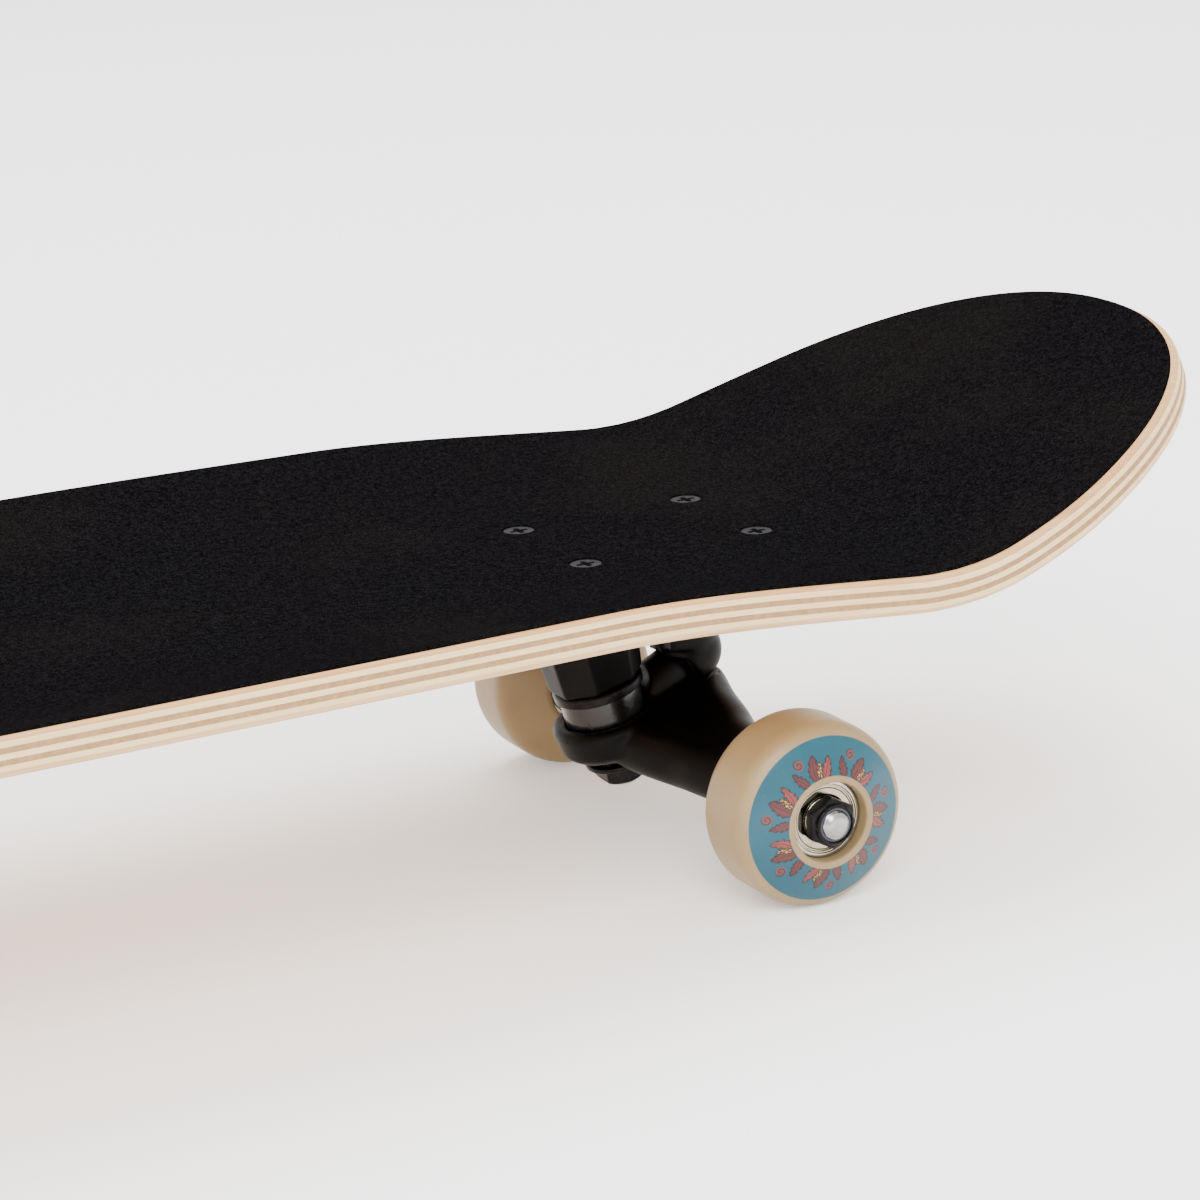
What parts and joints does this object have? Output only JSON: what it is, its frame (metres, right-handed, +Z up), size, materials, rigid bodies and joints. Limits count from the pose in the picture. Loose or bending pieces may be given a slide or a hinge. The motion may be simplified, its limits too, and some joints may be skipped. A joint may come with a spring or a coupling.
{
  "type": "skateboard",
  "caption": "Skateboard: pressed wooden deck with kicked ends and grip tape, two sprung steering trucks and urethane wheels that spin on ball bearings.",
  "frame": {"origin": "on the ground under the middle of the board", "axes": "+X along the board, +Y across it, +Z up"},
  "size_m": [0.7662, 0.206, 0.1329],
  "materials": {
    "grip_tape": "fine grit, matt",
    "long_ply": "satin",
    "cross_ply": "satin",
    "black_steel": "black oxide, satin",
    "black_casting": "black satin paint",
    "black_urethane": "glossy",
    "black_washer": "black, rubbed rim",
    "bright_steel": "bright",
    "nylon_insert": "dark nylon",
    "wheel_urethane": "cream, slightly glossy",
    "bearing_steel": "polished",
    "bearing_shield": "pale zinc"
  },
  "bodies": {
    "deck": {"grip_tape": "grip_tape", "deck_ply_1": "long_ply", "deck_ply_2": "long_ply", "deck_ply_3": "cross_ply", "deck_ply_4": "long_ply", "deck_ply_5": "cross_ply", "deck_ply_6": "long_ply", "deck_ply_7": "long_ply", "front_deck_bolts": "black_steel", "front_deck_nuts": "black_steel", "front_baseplate": "black_casting", "front_pivot_cup": "black_urethane", "front_kingpin": "black_steel", "front_kingpin_nut": "black_steel", "front_cup_washer": "black_washer", "front_lower_washer": "black_washer", "front_upper_bushing": "black_urethane", "front_lower_bushing": "black_urethane", "rear_deck_bolts": "black_steel", "rear_deck_nuts": "black_steel", "rear_baseplate": "black_casting", "rear_pivot_cup": "black_urethane", "rear_kingpin": "black_steel", "rear_kingpin_nut": "black_steel", "rear_cup_washer": "black_washer", "rear_lower_washer": "black_washer", "rear_upper_bushing": "black_urethane", "rear_lower_bushing": "black_urethane"},
    "front_hanger_body": {"front_hanger": "black_casting", "front_axle": "bright_steel", "front_speed_washers": "bright_steel", "front_bearing_spacers": "bright_steel", "front_axle_nuts": "black_steel", "front_axle_nut_inserts": "nylon_insert", "front_bearing_inner_rings": "bearing_steel"},
    "front_left_wheel_body": {"front_left_wheel": "wheel_urethane", "front_left_bearing_outer_rings": "bearing_steel", "front_left_bearing_shields": "bearing_shield"},
    "front_left_balls_body": {"front_left_bearing_balls": "bearing_steel"},
    "front_right_wheel_body": {"front_right_wheel": "wheel_urethane", "front_right_bearing_outer_rings": "bearing_steel", "front_right_bearing_shields": "bearing_shield"},
    "front_right_balls_body": {"front_right_bearing_balls": "bearing_steel"},
    "rear_hanger_body": {"rear_hanger": "black_casting", "rear_axle": "bright_steel", "rear_speed_washers": "bright_steel", "rear_bearing_spacers": "bright_steel", "rear_axle_nuts": "black_steel", "rear_axle_nut_inserts": "nylon_insert", "rear_bearing_inner_rings": "bearing_steel"},
    "rear_left_wheel_body": {"rear_left_wheel": "wheel_urethane", "rear_left_bearing_outer_rings": "bearing_steel", "rear_left_bearing_shields": "bearing_shield"},
    "rear_left_balls_body": {"rear_left_bearing_balls": "bearing_steel"},
    "rear_right_wheel_body": {"rear_right_wheel": "wheel_urethane", "rear_right_bearing_outer_rings": "bearing_steel", "rear_right_bearing_shields": "bearing_shield"},
    "rear_right_balls_body": {"rear_right_bearing_balls": "bearing_steel"}
  },
  "joints": [
    {"name": "front_steering", "type": "hinge", "parent": "deck", "child": "front_hanger_body", "pos_m": [0.20458, 0, 0.03306], "axis": [0.8133, 0, 0.5819], "range_deg": [-12, 12], "stiffness_Nm_per_rad": 60, "deforming": ["front_upper_bushing", "front_lower_bushing"]},
    {"name": "front_left_wheel_spin", "type": "hinge", "parent": "front_hanger_body", "child": "front_left_wheel_body", "pos_m": [0.2253, 0.0718, 0.026], "axis": [0, 1, 0], "continuous": true},
    {"name": "front_left_balls_roll", "type": "hinge", "parent": "front_hanger_body", "child": "front_left_balls_body", "pos_m": [0.2253, 0.0718, 0.026], "axis": [0, 1, 0], "continuous": true},
    {"name": "front_right_wheel_spin", "type": "hinge", "parent": "front_hanger_body", "child": "front_right_wheel_body", "pos_m": [0.2253, -0.0718, 0.026], "axis": [0, 1, 0], "continuous": true},
    {"name": "front_right_balls_roll", "type": "hinge", "parent": "front_hanger_body", "child": "front_right_balls_body", "pos_m": [0.2253, -0.0718, 0.026], "axis": [0, 1, 0], "continuous": true},
    {"name": "rear_steering", "type": "hinge", "parent": "deck", "child": "rear_hanger_body", "pos_m": [-0.20458, 0, 0.03306], "axis": [-0.8133, 0, 0.5819], "range_deg": [-12, 12], "stiffness_Nm_per_rad": 60, "deforming": ["rear_upper_bushing", "rear_lower_bushing"]},
    {"name": "rear_left_wheel_spin", "type": "hinge", "parent": "rear_hanger_body", "child": "rear_left_wheel_body", "pos_m": [-0.2253, 0.0718, 0.026], "axis": [0, 1, 0], "continuous": true},
    {"name": "rear_left_balls_roll", "type": "hinge", "parent": "rear_hanger_body", "child": "rear_left_balls_body", "pos_m": [-0.2253, 0.0718, 0.026], "axis": [0, 1, 0], "continuous": true},
    {"name": "rear_right_wheel_spin", "type": "hinge", "parent": "rear_hanger_body", "child": "rear_right_wheel_body", "pos_m": [-0.2253, -0.0718, 0.026], "axis": [0, 1, 0], "continuous": true},
    {"name": "rear_right_balls_roll", "type": "hinge", "parent": "rear_hanger_body", "child": "rear_right_balls_body", "pos_m": [-0.2253, -0.0718, 0.026], "axis": [0, 1, 0], "continuous": true}
  ],
  "couplings": [
    {"joint": "front_left_balls_roll", "follows": "front_left_wheel_spin", "ratio": 0.62667},
    {"joint": "front_right_balls_roll", "follows": "front_right_wheel_spin", "ratio": 0.62667},
    {"joint": "rear_left_balls_roll", "follows": "rear_left_wheel_spin", "ratio": 0.62667},
    {"joint": "rear_right_balls_roll", "follows": "rear_right_wheel_spin", "ratio": 0.62667}
  ]
}
